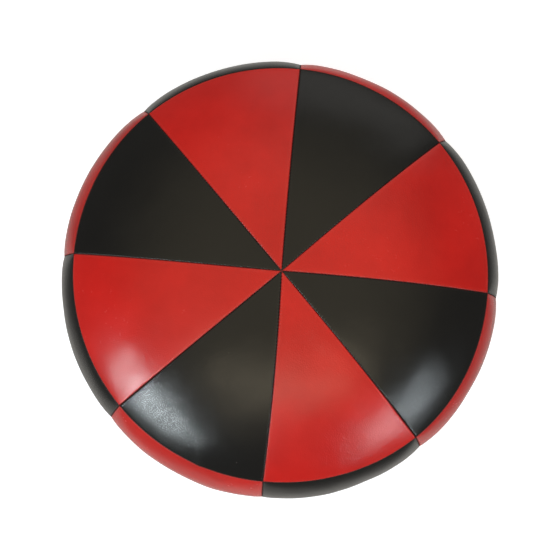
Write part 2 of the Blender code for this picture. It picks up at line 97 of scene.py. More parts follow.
FILL_FRAMES = 20
PITCH = 0.00345              # one stitch of the seams

# Cut and sewn by hand, so it isn't quite regular. Every top seam bows a little, and one strays.
SEAM_BOW = 0.0007
STRAY_SEAM = 6
STRAY_BOW = 0.0023
STRAY_DRIFT = math.radians(0.7)
CENTRE = (0.0015, -0.0015)   # where the tips meet, beside the middle
# The rim seam stands a little further out than a true circle, and more where it bulges:
# the direction and the spread of a bulge in degrees, and how far out it reaches.
RIM_EASE = 0.0006
RIM_BULGES = ((320, 30, 0.005), (135, 40, 0.0018))
# The widest part leans to one side.
WAIST_EASE = 0.0006
WAIST_LEAN = 0.0013
WAIST_LEAN_TOWARDS = math.radians(240)
# The rim seam has a small proud corner: its panel, share across it, width and height.
CORNER_PANEL, CORNER_SHARE, CORNER_WIDTH, CORNER_HEIGHT = 5, 0.60, 0.005, 0.0008

SLOT_HALF = 0.0055           # the leather's edge beside the zip, from the middle line
SLOT_END = 0.1535
CHANNEL = 0.005              # the valley that keeps the zip off the floor
CHANNEL_INNER = 0.006
CHANNEL_OUTER = 0.030
CHANNEL_RUN_OUT = 0.030
HEM = 0.0024                 # how far the leather is turned in beside the zip
TIP_TURN = math.radians(89.5)
UNDER_TURN = math.radians(84.0)
SEAM_TURN_WIDTH = 0.02       # the base's turned edge changes direction this near to its seam
END_TURN_WIDTH = 0.035
FLOOR_CLEAR = 0.001          # the base is flat below this height
FLOOR_FADE = 0.004

BAG_DEPTH = 0.0085           # the inner bag, below the leather's face
BAG_CLOTH = 0.0008
BAG_FLOOR = 0.0125
BAG_TOP_END = 0.93           # where the bag's pieces end, as places on the profile
BAG_WALL_END = 1.97
BAG_BOTTOM_RADIUS = 0.203
BAG_CRUMPLE = 0.0008
STUFFING_DEPTH = 0.0098
STUFFING_FLOOR = BAG_FLOOR + 0.0015
STUFFING_CRUMPLE = 0.003
INSIDE_SEGMENTS = 96
COIL_PITCH = 0.0018
COIL_WIRE = 0.00036           # radius
METAL_EDGE = 0.00025         # rounding of the zip's metal pieces

STITCH_LENGTH = 0.0028
STITCH_RADIUS = 0.00032
STITCH_SLANT = math.radians(28)
STITCH_DEPTH = 0.00085

EDGE_STEPS = (0.0, 0.0001, 0.0003, 0.0006, 0.0011, 0.0020, 0.0036, 0.0070)
ACROSS = 26
TOP_ALONG = 40
SIDE_ALONG = 30
BASE_ROWS = 72
BASE_ACROSS = 30
TIP_STEPS = (0.0005, 0.0014, 0.0028, 0.0048, 0.0075, 0.0110, 0.0160)

RED = (0.490, 0.0112, 0.0080, 1.0)
BLACK = (0.0075, 0.0072, 0.0066, 1.0)
THREAD = (0.075, 0.010, 0.009, 1.0)
DUST = (0.40, 0.37, 0.33, 1.0)
# Lighter tones for the band beside each seam: partly rubbed wear, partly a painted highlight on the rolled
# edge.
RUBBED_AND_HIGHLIGHT_RED = (0.66, 0.10, 0.08, 1.0)
RUBBED_AND_HIGHLIGHT_BLACK = (0.05, 0.047, 0.042, 1.0)

# The room that the leather mirrors.
CEILING_GLOW = (0.90, 0.80, 0.59, 1.0)
WALL_GLOW = (0.150, 0.150, 0.160, 1.0)
FAR_WALL_GLOW = (0.26, 0.26, 0.25, 1.0)
FLOOR_GLOW = (0.13, 0.126, 0.121, 1.0)
NEAR_FLOOR_GLOW = (0.62, 0.60, 0.56, 1.0)

CAMERA_DISTANCE = 1.625      # from the middle of the rim
CAMERA_AZIMUTH = math.radians(5.5)
CAMERA_TILT = math.radians(4.19)
CAMERA_LENS = 95.8
AIM_RIGHT, AIM_UP = -0.00045, -0.00735


# ---------------------------------------------------------------- shader helpers

def new_material(name):
    """A material with its node tree, shader and an object-space coordinate."""
    made = bpy.data.materials.new(name)
    made.use_nodes = True
    tree = made.node_tree
    shader = tree.nodes["Principled BSDF"]
    place = tree.nodes.new("ShaderNodeTexCoord").outputs["Object"]
    return made, tree, shader, place


def noise_node(tree, place, scale, detail=4.0, roughness=0.55):
    node = tree.nodes.new("ShaderNodeTexNoise")
    node.inputs["Scale"].default_value = scale
    node.inputs["Detail"].default_value = detail
    node.inputs["Roughness"].default_value = roughness
    tree.links.new(place, node.inputs["Vector"])
    return node.outputs["Fac"]


def cells_node(tree, place, scale):
    """Distance to the edge of the nearest cell, in cells."""
    node = tree.nodes.new("ShaderNodeTexVoronoi")
    node.feature = "DISTANCE_TO_EDGE"
    node.inputs["Scale"].default_value = scale
    tree.links.new(place, node.inputs["Vector"])
    return node.outputs["Distance"]


def rare_specks(tree, place, scale, size, share):
    """1 inside a speck and 0 elsewhere: a share of the cells holds one, of that size in cells."""
    node = tree.nodes.new("ShaderNodeTexVoronoi")
    node.inputs["Scale"].default_value = scale
    tree.links.new(place, node.inputs["Vector"])
    split = tree.nodes.new("ShaderNodeSeparateColor")
    tree.links.new(node.outputs["Color"], split.inputs["Color"])
    chosen = calculate(tree, "GREATER_THAN", split.outputs["Red"], 1 - share)
    inside = remap(tree, node.outputs["Distance"], size / 2, size, 1.0, 0.0)
    return calculate(tree, "MULTIPLY", chosen, inside)


def remap(tree, value, from_low, from_high, to_low, to_high):
    node = tree.nodes.new("ShaderNodeMapRange")
    node.inputs["From Min"].default_value = from_low
    node.inputs["From Max"].default_value = from_high
    node.inputs["To Min"].default_value = to_low
    node.inputs["To Max"].default_value = to_high
    tree.links.new(value, node.inputs["Value"])
    return node.outputs["Result"]


def calculate(tree, operation, *values):
    node = tree.nodes.new("ShaderNodeMath")
    node.operation = operation
    for socket, value in zip(node.inputs, values):
        if isinstance(value, (int, float)):
            socket.default_value = value
        else:
            tree.links.new(value, socket)
    return node.outputs["Value"]


def mix_colour(tree, share, first, second, blend="MIX"):
    node = tree.nodes.new("ShaderNodeMix")
    node.data_type = "RGBA"
    node.blend_type = blend
    for socket, value in ((node.inputs[0], share), (node.inputs[6], first), (node.inputs[7], second)):
        if isinstance(value, (int, float, tuple)):
            socket.default_value = value
        else:
            tree.links.new(value, socket)
    return node.outputs[2]


def attribute(tree, name):
    node = tree.nodes.new("ShaderNodeAttribute")
    node.attribute_name = name
    return node.outputs["Fac"]


def bump(tree, height, distance, under=None, strength=1.0):
    node = tree.nodes.new("ShaderNodeBump")
    node.inputs["Distance"].default_value = distance
    node.inputs["Strength"].default_value = strength
    tree.links.new(height, node.inputs["Height"])
    if under is not None:
        tree.links.new(under, node.inputs["Normal"])
    return node.outputs["Normal"]


def scaled(colour, factor):
    return tuple(channel * factor for channel in colour[:3]) + (1.0,)


# ---------------------------------------------------------------- materials

def leather(name, colour, pale, wear_and_highlight, roughness):
    """Smooth dyed hide: fine pebble grain, mottled dye, painted shade in the seams, and beside them a lighter
    band that is partly rubbed wear and partly a painted highlight on the rolled edge.
    """
    made, tree, shader, place = new_material(name)
    side_gap = attribute(tree, "side_gap")
    end_gap = attribute(tree, "end_gap")
    gap = calculate(tree, "MINIMUM", side_gap, end_gap)
    mottle = noise_node(tree, place, 9.0, 5.0, 0.6)
    specks = noise_node(tree, place, 160.0, 3.0, 0.7)
    patchy = remap(tree, mottle, 0.35, 0.68, 0.0, 1.0)
    tone = mix_colour(tree, patchy, scaled(colour, 0.86), scaled(colour, 1.10))
    dust = calculate(tree, "MULTIPLY", rare_specks(tree, place, 110.0, 0.06, 0.012), 0.6)
    tone = mix_colour(tree, dust, tone, DUST)
    # A lighter band a millimetre or two from each seam: partly rubbed wear, partly a painted highlight on the
    # rolled edge.
    rub_and_highlight = calculate(tree, "SUBTRACT", remap(tree, gap, 0.0006, 0.0014, 0.0, 1.0),
                       remap(tree, gap, 0.0014, 0.0042, 0.0, 1.0))
    rub_and_highlight = calculate(tree, "MULTIPLY", rub_and_highlight, remap(tree, specks, 0.3, 0.7, 0.1 * wear_and_highlight, wear_and_highlight))
    tone = mix_colour(tree, rub_and_highlight, tone, pale)
    # Painted shade in the seam grooves: the leather's colour is darkened within about a millimetre of each
    # seam.
    tone = mix_colour(tree, remap(tree, gap, 0.0002, 0.0013, 0.75, 0.0), tone, scaled(colour, 0.22))
    tree.links.new(tone, shader.inputs["Base Color"])
    gloss = calculate(tree, "MULTIPLY_ADD", mottle, 0.08, roughness - 0.04)
    gloss = calculate(tree, "MULTIPLY_ADD", specks, 0.10, calculate(tree, "SUBTRACT", gloss, 0.05))
    worn = remap(tree, gap, 0.0, 0.0015, 0.25, 0.0)
    tree.links.new(calculate(tree, "ADD", gloss, worn), shader.inputs["Roughness"])
    shader.inputs["Specular IOR Level"].default_value = 0.33
    grain = cells_node(tree, place, 430.0)
    grain = calculate(tree, "MINIMUM", calculate(tree, "MULTIPLY", grain, 2.2), 1.0)
    pores = noise_node(tree, place, 1100.0, 2.0, 0.6)
    grain = calculate(tree, "MULTIPLY_ADD", pores, 0.5, grain)
    height = tree.nodes.new("ShaderNodeSeparateXYZ")
    tree.links.new(place, height.inputs["Vector"])
    stretched = remap(tree, height.outputs["Z"], RIM_HEIGHT - 0.02, RIM_HEIGHT, 0.4, 1.0)
    patches = remap(tree, noise_node(tree, place, 26.0, 3.0), 0.3, 0.7, 0.7, 1.0)
    depth = calculate(tree, "MULTIPLY", patches, stretched)
    normal = bump(tree, calculate(tree, "MULTIPLY", grain, depth), 0.00008)
    creases = calculate(tree, "MULTIPLY", noise_node(tree, place, 95.0, 5.0, 0.65), stretched)
    normal = bump(tree, creases, 0.00012, normal)
    for turn, near in (("side_turn", side_gap), ("end_turn", end_gap)):
        wave = calculate(tree, "COSINE", calculate(tree, "MULTIPLY", attribute(tree, turn), 2 * math.pi))
        fade = calculate(tree, "POWER", remap(tree, near, 0.0, 0.0045, 1.0, 0.0), 2.0)
        normal = bump(tree, calculate(tree, "MULTIPLY", wave, fade), 0.00015, normal)
    tree.links.new(normal, shader.inputs["Normal"])
    return made


def thread_material():
    made, tree, shader, place = new_material("waxed_thread")
    tone = noise_node(tree, place, 420.0, 3.0)
    tone = mix_colour(tree, tone, scaled(THREAD, 0.5), scaled(THREAD, 1.7))
    tree.links.new(tone, shader.inputs["Base Color"])
    shader.inputs["Roughness"].default_value = 0.7
    shader.inputs["Specular IOR Level"].default_value = 0.25
    tree.links.new(bump(tree, noise_node(tree, place, 4200.0, 2.0), 0.00008), shader.inputs["Normal"])
    return made


def woven_material(name, colour, threads_per_metre, depth):
    """Plain weave: two crossing sets of threads, in object space."""
    made, tree, shader, place = new_material(name)
    split = tree.nodes.new("ShaderNodeSeparateXYZ")
    tree.links.new(place, split.inputs["Vector"])
    turns = 2 * math.pi * threads_per_metre
    warp = calculate(tree, "SINE", calculate(tree, "MULTIPLY", split.outputs["X"], turns))
    weft = calculate(tree, "SINE", calculate(tree, "MULTIPLY", split.outputs["Y"], turns))
    rise = calculate(tree, "SINE", calculate(tree, "MULTIPLY", split.outputs["Z"], turns))
    weave = calculate(tree, "MULTIPLY", calculate(tree, "MAXIMUM", warp, weft), 0.6)
    weave = calculate(tree, "MULTIPLY_ADD", rise, 0.4, weave)
    fuzz = noise_node(tree, place, 900.0, 3.0)
    share = calculate(tree, "MULTIPLY_ADD", fuzz, 0.6, calculate(tree, "MULTIPLY", weave, 0.3))
    tone = mix_colour(tree, share, scaled(colour, 0.7), scaled(colour, 1.15))
    tree.links.new(tone, shader.inputs["Base Color"])
    shader.inputs["Roughness"].default_value = 0.9
    shader.inputs["Sheen Weight"].default_value = 0.15
    tree.links.new(bump(tree, calculate(tree, "ADD", weave, fuzz), depth), shader.inputs["Normal"])
    return made


def nylon_material():
    made, tree, shader, place = new_material("zip_nylon_black")
    tone = noise_node(tree, place, 300.0, 2.0)
    tree.links.new(mix_colour(tree, tone, (0.018, 0.018, 0.018, 1.0), (0.045, 0.044, 0.042, 1.0)),
                   shader.inputs["Base Color"])
    tree.links.new(remap(tree, tone, 0.3, 0.7, 0.28, 0.45), shader.inputs["Roughness"])
    tree.links.new(bump(tree, noise_node(tree, place, 2500.0, 2.0), 0.00004), shader.inputs["Normal"])
    return made


def metal_material():
    """Nickel plate with fine scratches and dulled patches."""
    made, tree, shader, place = new_material("zip_nickel")
    shader.inputs["Metallic"].default_value = 1.0
    dull = noise_node(tree, place, 260.0, 4.0)
    tree.links.new(mix_colour(tree, dull, (0.46, 0.44, 0.40, 1.0), (0.72, 0.70, 0.66, 1.0)),
                   shader.inputs["Base Color"])
    tree.links.new(remap(tree, dull, 0.3, 0.7, 0.20, 0.42), shader.inputs["Roughness"])
    stretch = tree.nodes.new("ShaderNodeMapping")
    stretch.inputs["Scale"].default_value = (9000.0, 500.0, 9000.0)
    tree.links.new(place, stretch.inputs["Vector"])
    scratches = noise_node(tree, stretch.outputs["Vector"], 1.0, 2.0)
    tree.links.new(bump(tree, scratches, 0.00002), shader.inputs["Normal"])
    return made


def fibre_material():
    """Matted cotton filling."""
    made, tree, shader, place = new_material("cotton_fibre")
    clumps = noise_node(tree, place, 35.0, 6.0, 0.65)
    strands = noise_node(tree, place, 700.0, 5.0, 0.7)
    tree.links.new(mix_colour(tree, clumps, (0.62, 0.58, 0.50, 1.0), (0.88, 0.86, 0.80, 1.0)),
                   shader.inputs["Base Color"])
    shader.inputs["Roughness"].default_value = 0.95
    shader.inputs["Sheen Weight"].default_value = 0.3
    normal = bump(tree, strands, 0.0006)
    tree.links.new(bump(tree, clumps, 0.004, normal, 0.6), shader.inputs["Normal"])
    return made


# ---------------------------------------------------------------- the pouf's own shape

def smooth(share):
    share = np.clip(share, 0, 1)
    return share * share * (3 - 2 * share)


def rim_reach(angle):
    """How far out the rim seam lies beside a true circle."""
    reach = RIM_EASE
    for towards, spread, height in RIM_BULGES:
        turn = np.degrees(np.angle(np.exp(1j * (angle - math.radians(towards)))))
        reach = reach + height * np.exp(-(turn / spread) ** 2)
    return reach


def waist_reach(angle):
    """How far out the widest part lies beside a true circle."""
    return WAIST_EASE + WAIST_LEAN * np.cos(angle - WAIST_LEAN_TOWARDS)


def profile(p, place=None):
    """Radius and height of the skin: p is 0 at the centre, 1 at the rim, 2 at the base seam.

    place counts the panels round the pouf, and without it the pouf is a true circle.
    """
    p = np.asarray(p, float)
    rim, waist = RIM_RADIUS, WIDEST_RADIUS
    if place is not None:
        angle = np.asarray(place, float) * PANEL_ANGLE
        rim, waist = rim + rim_reach(angle), waist + waist_reach(angle)
    rim_height = TOP_HEIGHT - CROWN * (rim / RIM_RADIUS) ** CROWN_POWER
    top_height = TOP_HEIGHT - CROWN * (np.clip(p, 0, 1) * rim / RIM_RADIUS) ** CROWN_POWER
    height = rim_height - (p - 1) * (rim_height - BASE_SEAM_HEIGHT)
    upper = np.clip((height - WIDEST_HEIGHT) / (rim_height - WIDEST_HEIGHT), 0, 1.2)
    lower = np.clip((WIDEST_HEIGHT - height) / (WIDEST_HEIGHT - BASE_SEAM_HEIGHT), 0, 1.2)
    upper_radius = rim + (waist - rim) * (1 - upper**UPPER_SIDE_POWER)
    lower_radius = BASE_SEAM_RADIUS + (waist - BASE_SEAM_RADIUS) * (1 - lower**LOWER_SIDE_POWER)
    side_radius = np.where(height >= WIDEST_HEIGHT, upper_radius, lower_radius)
    return np.where(p <= 1, p * rim, side_radius), np.where(p <= 1, top_height, height)


def base_rise(radius, edge_radius, edge_height):
    """Height of the base at a radius, between the flat middle and the base seam."""
    share = np.maximum(0.0, (radius - FLAT_RADIUS) / (edge_radius - FLAT_RADIUS))
    return edge_height * share**BASE_RISE_POWER


def one_side(p, step, place):
    """Unit direction of the profile just before or just after p."""
    radius, height = profile(p, place)
    near_radius, near_height = profile(np.maximum(p + step, 0.0), place)
    if step > 0:
        at_base_seam = p > 2 - FOLD_STEP / 4
        inside = BASE_SEAM_RADIUS - FOLD_STEP
        drop = base_rise(inside, BASE_SEAM_RADIUS, BASE_SEAM_HEIGHT)
        near_radius = np.where(at_base_seam, inside, near_radius)
        near_height = np.where(at_base_seam, drop, near_height)
    across = (near_radius - radius) * np.sign(step)
    down = (near_height - height) * np.sign(step)
    length = np.hypot(across, down) + 1e-12
    return across / length, down / length


def tangent(p, place=None):
    """Unit direction of the profile, halfway between its two sides where it folds at a seam."""
    after, before = one_side(p, FOLD_STEP, place), one_side(p, -FOLD_STEP, place)
    across, down = after[0] + before[0], after[1] + before[1]
    length = np.hypot(across, down)
    return across / length, down / length


def rim_corner(index, share, p):
    """The proud corner of the rim seam, as a height above the smooth skin."""
    if index != CORNER_PANEL:
        return 0.0
    across = (share - CORNER_SHARE) * RIM_RADIUS * PANEL_ANGLE / CORNER_WIDTH
    along = (p - 1) * RIM_RADIUS / CORNER_WIDTH
    return CORNER_HEIGHT * np.exp(-(across**2) - along**2)


def between_seams(share, index, usual, stray):
    """A value of the two seams beside a panel, changed evenly across it."""
    before = stray if index % PANELS == STRAY_SEAM else usual
    after = stray if (index + 1) % PANELS == STRAY_SEAM else usual
    return before * (1 - share) + after * share


def skin(index, share, p, out=0.0, slide=0.0, shift=0.0):
    """Points of a panel's skin, moved out along the normal, along the profile, and sideways."""
    share, p = np.broadcast_arrays(np.asarray(share, float), np.asarray(p, float))
    drift = between_seams(share, index, 0.0, STRAY_DRIFT)
    angle = (index + share) * PANEL_ANGLE + drift
    radius, height = profile(p, index + share)
    across, down = tangent(p, index + share)
    out = out + rim_corner(index % PANELS, share, p)
    radius = radius + across * slide - down * out
    height = height + down * slide + across * out
    on_top = np.clip(1 - p, 0, 1)
    bow = between_seams(share, index, SEAM_BOW, STRAY_BOW) * 4 * np.clip(p, 0, 1) * on_top
    x = radius * np.cos(angle) - (shift + bow) * np.sin(angle) + CENTRE[0] * on_top
    y = radius * np.sin(angle) + (shift + bow) * np.cos(angle) + CENTRE[1] * on_top
    return np.stack([x, y, height], axis=-1)


def distance_along(p):
    """Length of the profile from the centre to p."""
    table = np.linspace(0.0, 2.0, 801)
    radius, height = profile(table)
    steps = np.hypot(np.diff(radius), np.diff(height))
    return np.interp(p, table, np.concatenate([[0.0], np.cumsum(steps)]))


SIDE_LENGTH = distance_along(2.0) - distance_along(1.0)
TOP_STITCHES = round(distance_along(1.0) / PITCH)
SIDE_STITCHES = round(SIDE_LENGTH / PITCH)
RIM_STITCHES = round(2 * math.pi * RIM_RADIUS / PITCH)
BASE_STITCHES = round(2 * math.pi * BASE_SEAM_RADIUS / PITCH)


def grid_faces(rows, columns, start, flip):
    """Quads of a grid of points numbered from start."""
    faces = []
    for i in range(rows - 1):
        for j in range(columns - 1):
            a = start + i * columns + j
            quad = (a, a + 1, a + columns + 1, a + columns)
            faces.append(quad[::-1] if flip else quad)
    return faces


def sewn_skin():
    """The whole leather skin as one mesh, joined at the seams, with the seams in a group of points."""
    places, shares = np.meshgrid(FILL_P, FILL_SHARE, indexing="ij")
    rows, columns = places.shape
    points = np.concatenate([skin(index, shares, places).reshape(-1, 3) for index in range(PANELS)])
    faces = []
    for index in range(PANELS):
        faces += grid_faces(rows, columns, index * rows * columns, True)
    sewn = (shares == 0) | (shares == 1) | (places <= FILL_P[0]) | (places == 1) | (places == 2)
    mesh = bpy.data.meshes.new("sewn_skin")
    mesh.from_pydata(points.tolist(), [], faces)
    made = bpy.data.objects.new("sewn_skin", mesh)
    bpy.context.scene.collection.objects.link(made)
    group = made.vertex_groups.new(name="sewn")
    group.add([int(k) for k in np.flatnonzero(np.tile(sewn.reshape(-1), PANELS))], 1.0, "REPLACE")
    return made


def fill_with_cloth():
    """Blows up the sewn skin with Cloth, its seams held, and measures how far each panel swells.

    Returns an array of panel, place along the profile and place across the panel, from 0 to about 1.
    """
    places, shares = np.meshgrid(FILL_P, FILL_SHARE, indexing="ij")
    made = sewn_skin()
    cloth = made.modifiers.new("filling", "CLOTH")
    settings = cloth.settings
    settings.quality = 6
    settings.mass = 0.4
    settings.tension_stiffness = 5
    settings.compression_stiffness = 5
    settings.shear_stiffness = 2
    settings.bending_stiffness = 0.5
    settings.use_pressure = True
    settings.uniform_pressure_force = 100
    settings.vertex_group_mass = "sewn"
    settings.effector_weights.gravity = 0
    cloth.collision_settings.use_self_collision = False
    cloth.point_cache.frame_start = 1
    cloth.point_cache.frame_end = FILL_FRAMES
    for frame_number in range(1, FILL_FRAMES + 1):
        bpy.context.scene.frame_set(frame_number)
    blown = made.evaluated_get(bpy.context.evaluated_depsgraph_get()).data
    after = np.array([point.co for point in blown.vertices]).reshape(PANELS, *places.shape, 3)
    swell = np.empty(after.shape[:3])
    for index in range(PANELS):
        before = skin(index, shares, places)
        outward = skin(index, shares, places, 0.001) - before
        swell[index] = np.sum((after[index] - before) * outward, axis=-1) / 0.001
    bpy.context.scene.frame_set(1)
    bpy.data.objects.remove(made)
    return np.clip(swell / np.percentile(swell, 98), 0.0, 1.2)


def swell_at(index, share, p):
    """How far a panel stands out between its seams, from the cloth simulation."""
    row = np.interp(p, FILL_P, np.arange(len(FILL_P)))
    column = np.clip(share, 0, 1) * (len(FILL_SHARE) - 1)
    i = np.minimum(row.astype(int), len(FILL_P) - 2)
    j = np.minimum(column.astype(int), len(FILL_SHARE) - 2)
    u, v = row - i, column - j
    table = FILLED[index % PANELS]
    before = table[i, j] * (1 - v) + table[i, j + 1] * v
    after = table[i + 1, j] * (1 - v) + table[i + 1, j + 1] * v
    return (before * (1 - u) + after * u) * np.where(np.asarray(p) < 1, TOP_SWELL, SIDE_SWELL)


FILLED = fill_with_cloth()


def lumps(points, scale, amount):
    """Slow uneven swelling from the filling behind the leather."""
    flat = points.reshape(-1, 3)
    swell = [noise.noise(Vector(point) * scale) for point in flat]
    return amount * np.array(swell).reshape(points.shape[:-1])


def roll(gap, radius):
    """How far the leather turns down at a distance from a seam."""
    near = np.clip(radius - gap, 0, radius)
    return radius - np.sqrt(np.maximum(radius**2 - near**2, 0.0))


def edge_places(length, middle, steps=EDGE_STEPS):
    """Places from 0 to 1 along a length: close together at both ends, even between."""
    squeeze = min(1.0, length / (4 * steps[-1]))
    ends = [step * squeeze / length for step in steps]
    inside = np.linspace(ends[-1], 1 - ends[-1], middle + 1)[1:-1]
    return np.concatenate([ends, inside, [1 - end for end in reversed(ends)]])


def add_piece(name, points, faces, finish, turn_out=False):
    """A smooth mesh object, with its faces turned outwards if asked."""
    mesh = bpy.data.meshes.new(name)
    mesh.from_pydata(points.tolist(), [], faces)
    if turn_out:
        turned = bmesh.new()
        turned.from_mesh(mesh)
        bmesh.ops.recalc_face_normals(turned, faces=turned.faces)
        turned.to_mesh(mesh)
        turned.free()
    mesh.shade_smooth()
    mesh.materials.append(finish)
    piece = bpy.data.objects.new(name, mesh)
    bpy.context.scene.collection.objects.link(piece)
    return piece


def stand_for(piece, node):
    """Puts a piece in the place of a CAD node of the pouf's own body."""
    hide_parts(node)
    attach(piece, BODY)


# ---------------------------------------------------------------- leather sheets

def border_of(rows, columns):
    """Places round the edge of a grid, in order."""
    border = [(i, 0) for i in range(rows - 1)]
    border += [(rows - 1, j) for j in range(columns - 1)]
    border += [(i, columns - 1) for i in range(rows - 1, 0, -1)]
    border += [(0, j) for j in range(columns - 1, 0, -1)]
    return border


def hemmed_sheet(name, outer, inner, outer_hem, inner_hem, values, finish):
    """A closed sheet of leather: outer and inner grids joined round their turned-in edges.

    values are the distances and runs that the material reads, for the outer grid.
    """
    rows, columns = outer.shape[:2]
    count = rows * columns
    border = border_of(rows, columns)
    points = np.concatenate([
        outer.reshape(-1, 3), inner.reshape(-1, 3),
        np.array([outer_hem[place] for place in border]), np.array([inner_hem[place] for place in border]),
    ])
    faces = grid_faces(rows, columns, 0, False) + grid_faces(rows, columns, count, True)
    ring = len(border)
    for k, (i, j) in enumerate(border):
        n = (k + 1) % ring
        after = border[n]
        first, second = i * columns + j, after[0] * columns + after[1]
        outer_first, outer_second = 2 * count + k, 2 * count + n
        faces.append((first, second, outer_second, outer_first))
        faces.append((outer_first, outer_second, outer_second + ring, outer_first + ring))
        faces.append((outer_first + ring, outer_second + ring, second + count, first + count))
    made = add_piece(name, points, faces, finish, turn_out=True)
    for key, grid in values.items():
        layer = made.data.attributes.new(key, "FLOAT", "POINT")
        filled = np.full(len(points), 1.0 if key.endswith("gap") else 0.0, np.float32)
        filled[:count] = grid.reshape(-1)
        layer.data.foreach_set("value", filled)
    return made


def panel_grids(index, p, first_inner, ends):
    """Everything a leather panel is made of, for a column of profile places p."""
    radius = profile(p)[0]
    widths = np.maximum(radius * PANEL_ANGLE, 1e-4)
    share = np.stack([edge_places(width, ACROSS) for width in widths])
    rows, columns = share.shape
    p = np.repeat(p[:, None], columns, axis=1)
    width = np.repeat(widths[:, None], columns, axis=1)
    side_gap = np.minimum(share, 1 - share) * width
    if ends == "top":
        end_gap = distance_along(1.0) - distance_along(p)
        turn = distance_along(p) / distance_along(1.0) * TOP_STITCHES
        ring_stitches = RIM_STITCHES
    else:
        end_gap = np.minimum(distance_along(p) - distance_along(1.0), distance_along(2.0) - distance_along(p))
        turn = (distance_along(p) - distance_along(1.0)) / SIDE_LENGTH * SIDE_STITCHES
        ring_stitches = np.where(p < 1.5, RIM_STITCHES, BASE_STITCHES)
    radius_here = np.minimum(ROLL, width * TIP_ROLL)
    turned = np.hypot(roll(side_gap, radius_here), roll(end_gap, ROLL))
    nearest = np.minimum(side_gap, end_gap)
    turned += SHOULDER * np.exp(-nearest / SHOULDER_WIDTH) * smooth(width / EVEN_WIDTH)
    swell = swell_at(index, share, p)
    flat = skin(index, share, p, swell)
    fade = smooth(nearest / EVEN_WIDTH)
    swell = swell + lumps(flat, *BIG_LUMPS) * fade + lumps(flat, *SMALL_LUMPS) * fade
    slide = np.zeros_like(p)
    slide[0] = HALF_GAP
    slide[-1] = -HALF_GAP
    shift = np.zeros_like(p)
    shift[:, 0] = HALF_GAP
    shift[:, -1] = -HALF_GAP
    outer = skin(index, share, p, swell - turned, slide, shift)
    inset = HALF_GAP + LEATHER
    low_p, high_p = p[0, 0], p[-1, 0]
    end_inset = inset / (RIM_RADIUS if ends == "top" else SIDE_HEIGHT)
    low_in = first_inner if ends == "top" else low_p + end_inset
    under_p = low_in + (p - low_p) / (high_p - low_p) * (high_p - end_inset - low_in)
    under_width = np.maximum(profile(under_p)[0] * PANEL_ANGLE, 1e-4)
    side_inset = np.minimum(inset / under_width, 0.3)
    under_share = side_inset + share * (1 - 2 * side_inset)
    under_swell = swell_at(index, under_share, under_p)
    inner = skin(index, under_share, under_p, under_swell - LEATHER - turned * UNDERSIDE_ROLL)
    outer_hem = skin(index, share, p, swell - ALLOWANCE, slide, shift)
    inner_hem = skin(index, under_share, under_p, under_swell - ALLOWANCE)
    values = {
        "side_gap": side_gap, "end_gap": end_gap,
        "side_turn": turn, "end_turn": (index + share) / PANELS * ring_stitches,
    }
    return outer, inner, outer_hem, inner_hem, values


def make_top_panel(index, finish):
    tip = [step / RIM_RADIUS for step in TIP_STEPS]
    last = 1 - EDGE_STEPS[-1] / RIM_RADIUS
    middle = np.linspace(tip[-1], last, TOP_ALONG + 1)[1:-1]
    rim = [1 - step / RIM_RADIUS for step in reversed(EDGE_STEPS)]
    p = np.concatenate([tip, middle, rim])
    grids = panel_grids(index, p, 0.012 / RIM_RADIUS, "top")
    piece = hemmed_sheet(f"top_leather_{index + 1}", *grids, finish)
    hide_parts(f"top_panel_{index + 1}")
    return piece


def make_side_panel(index, finish):
    p = 1 + edge_places(SIDE_HEIGHT, SIDE_ALONG)
    grids = panel_grids(index, p, None, "side")
    piece = hemmed_sheet(f"side_leather_{index + 1}", *grids, finish)
    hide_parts(f"side_panel_{index + 1}")
    return piece


def make_leather(red, black):
    """Wedges in turn red and black, and the other colour on the side below each."""
    for index in range(PANELS):
        finish = (red, black) if index % 2 == 0 else (black, red)
        slots = ("red_leather", "black_leather") if index % 2 == 0 else ("black_leather", "red_leather")
        for make, leather_finish, name in zip((make_top_panel, make_side_panel), finish, slots):
            piece = make(index, leather_finish)
            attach(piece, BODY)


# ---------------------------------------------------------------- base

def channel(x, y):
    """Height of the shallow valley that keeps the zip off the floor."""
    across = 1 - smooth((np.abs(x) - CHANNEL_INNER) / (CHANNEL_OUTER - CHANNEL_INNER))
    along = 1 - smooth((np.abs(y) - SLOT_END) / CHANNEL_RUN_OUT)
    return CHANNEL * across * along


def inward(angle, share):
    """Direction into the base: straight up where share is 0, along the seam's own allowance where it is 1."""
    across, down = tangent(2.0)
    at_seam = np.stack([down * np.cos(angle), down * np.sin(angle), -across + 0 * angle], axis=-1)
    mixed = np.array([0.0, 0.0, 1.0]) * (1 - share[..., None]) + at_seam * share[..., None]
    return mixed / np.linalg.norm(mixed, axis=-1, keepdims=True)


def base_points(angle, inset):
    """Smooth skin of half the base. Rows run straight from the zip edge to the base seam."""
    place = angle / PANEL_ANGLE
    index = np.floor(place).astype(int)
    seam = np.array([skin(i, f, 2.0, -inset, inset + HALF_GAP) for i, f in zip(index, place - index)])
    start = np.where(np.abs(seam[:, 1]) < SLOT_END, SLOT_HALF, HALF_GAP) + inset
    reach = np.maximum(seam[:, 0] - start, 0.0002)
    spread = np.stack([edge_places(length, BASE_ACROSS) for length in reach])
    x = start[:, None] + spread * reach[:, None]
    y = np.repeat(seam[:, 1:2], x.shape[1], axis=1)
    edge_radius = np.hypot(seam[:, 0], seam[:, 1])[:, None]
    rise = base_rise(np.hypot(x, y), edge_radius, seam[:, 2:3] - inset)
    points = np.stack([x, y, rise + channel(x, y) + inset], axis=-1)
    points[:, -1] = seam
    return points, spread * reach[:, None], (1 - spread) * reach[:, None]


